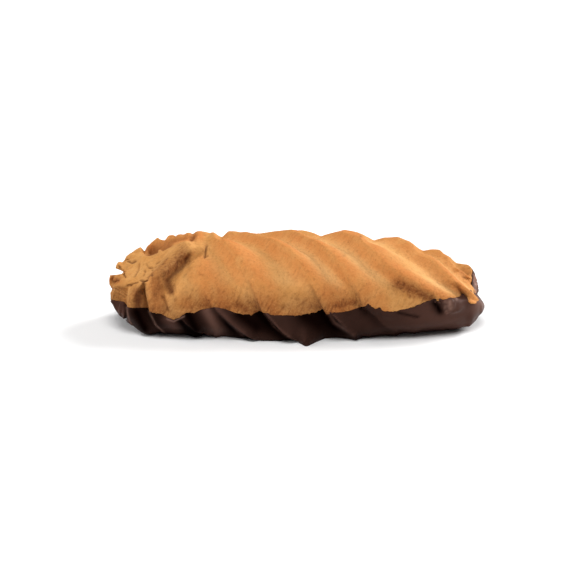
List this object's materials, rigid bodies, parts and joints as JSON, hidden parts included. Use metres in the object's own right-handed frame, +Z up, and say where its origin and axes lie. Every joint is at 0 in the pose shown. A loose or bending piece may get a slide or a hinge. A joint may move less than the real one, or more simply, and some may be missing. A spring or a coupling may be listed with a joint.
{
  "type": "chocolate-dipped cookie",
  "caption": "Piped butter finger with a twisted, ridged body and a torn left end, its underside dipped in dark chocolate up to a wavy line.",
  "frame": {"origin": "middle of the finger's box across X and Y, at the height of the flat base it lies on", "axes": "+X along the finger, from its torn end to its rounded end; -Y to the side with the pointed foot of chocolate; +Z up"},
  "size_m": [0.0806, 0.0324, 0.0204],
  "materials": {
    "baked_dough": "golden baked butter dough, matt, with a fine short grain",
    "dark_chocolate": "set dark chocolate, smooth, with a soft gloss"
  },
  "bodies": {
    "root": {"biscuit": "baked_dough", "chocolate_coat": "dark_chocolate"}
  },
  "joints": []
}
